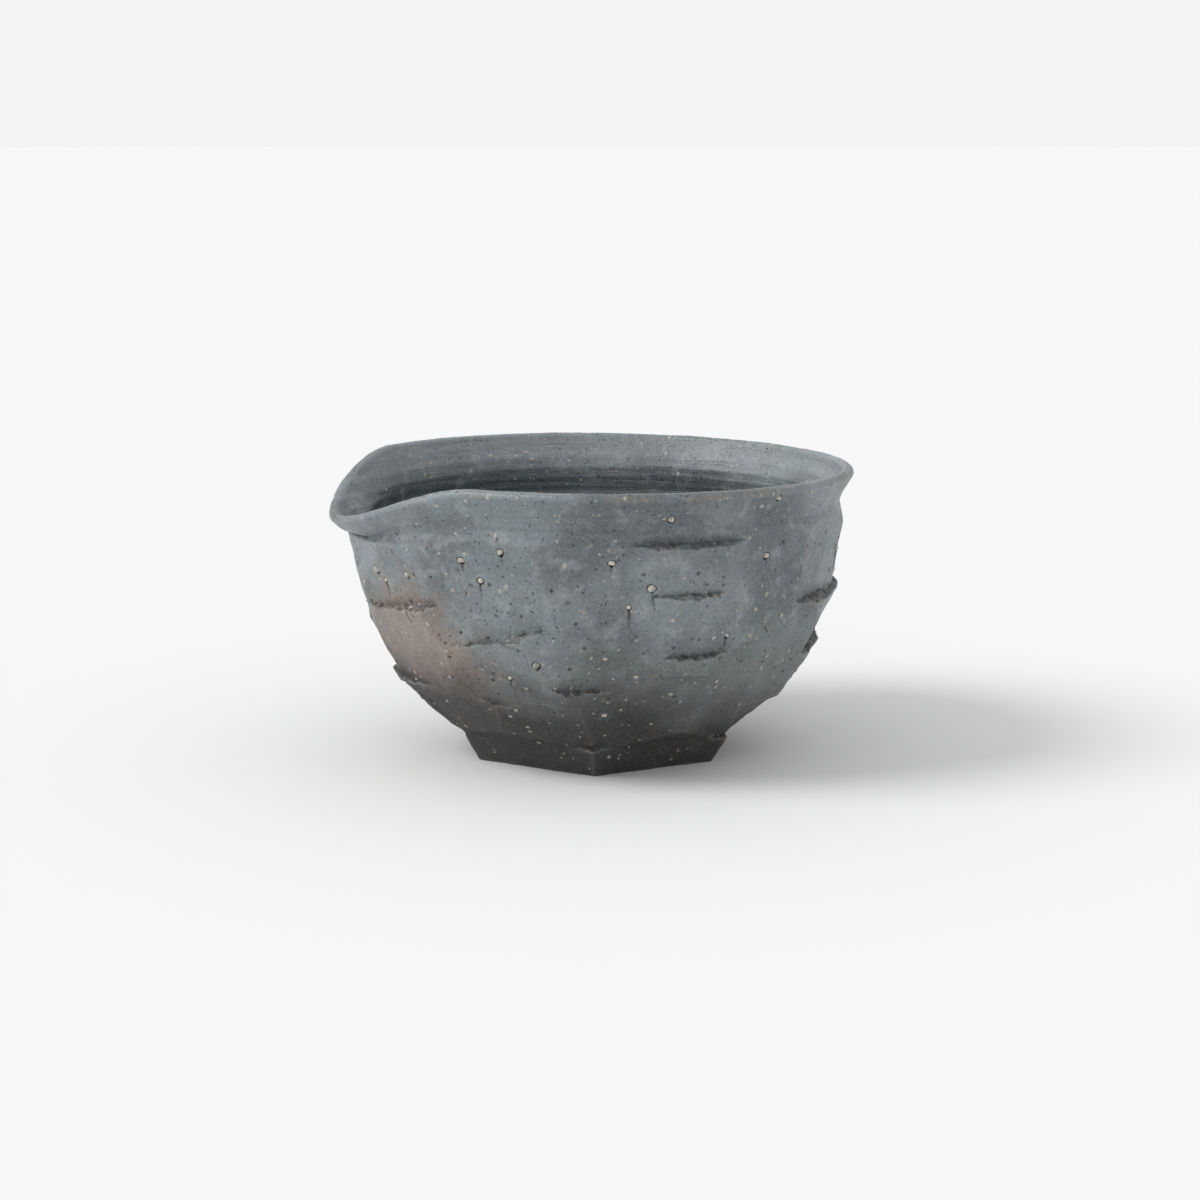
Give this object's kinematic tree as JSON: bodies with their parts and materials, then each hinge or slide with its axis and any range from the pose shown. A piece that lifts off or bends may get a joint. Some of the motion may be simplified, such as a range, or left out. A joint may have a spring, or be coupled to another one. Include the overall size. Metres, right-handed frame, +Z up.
{
  "type": "sake pitcher",
  "caption": "Lipped stoneware pouring bowl with a pulled spout, knife-cut facets, torn ledges and feldspar stones in dark smoke-fired clay, on a flat hexagonal foot.",
  "frame": {"origin": "on the throwing axis at the underside of the foot", "axes": "+Z up along the throwing axis, -X towards the spout"},
  "size_m": [0.1165, 0.113, 0.065],
  "materials": {
    "smoke_fired_clay": "unglazed, satin on the cut facets and matte on the torn ledges",
    "feldspar": "rough grains, half fused by the firing"
  },
  "bodies": {
    "root": {"clay_body": "smoke_fired_clay", "feldspar_stone_01": "feldspar", "feldspar_stone_02": "feldspar", "feldspar_stone_03": "feldspar", "feldspar_stone_04": "feldspar", "feldspar_stone_05": "feldspar", "feldspar_stone_06": "feldspar", "feldspar_stone_07": "feldspar", "feldspar_stone_08": "feldspar", "feldspar_stone_09": "feldspar", "feldspar_stone_10": "feldspar", "feldspar_stone_11": "feldspar", "feldspar_stone_12": "feldspar", "feldspar_stone_13": "feldspar", "feldspar_stone_14": "feldspar", "feldspar_stone_15": "feldspar", "feldspar_stone_16": "feldspar", "feldspar_stone_17": "feldspar", "feldspar_stone_18": "feldspar", "feldspar_stone_19": "feldspar", "feldspar_stone_20": "feldspar", "feldspar_stone_21": "feldspar", "feldspar_stone_22": "feldspar", "feldspar_stone_23": "feldspar", "feldspar_stone_24": "feldspar", "feldspar_stone_25": "feldspar", "feldspar_stone_26": "feldspar", "feldspar_stone_27": "feldspar", "feldspar_stone_28": "feldspar", "feldspar_stone_29": "feldspar", "feldspar_stone_30": "feldspar"}
  },
  "joints": []
}
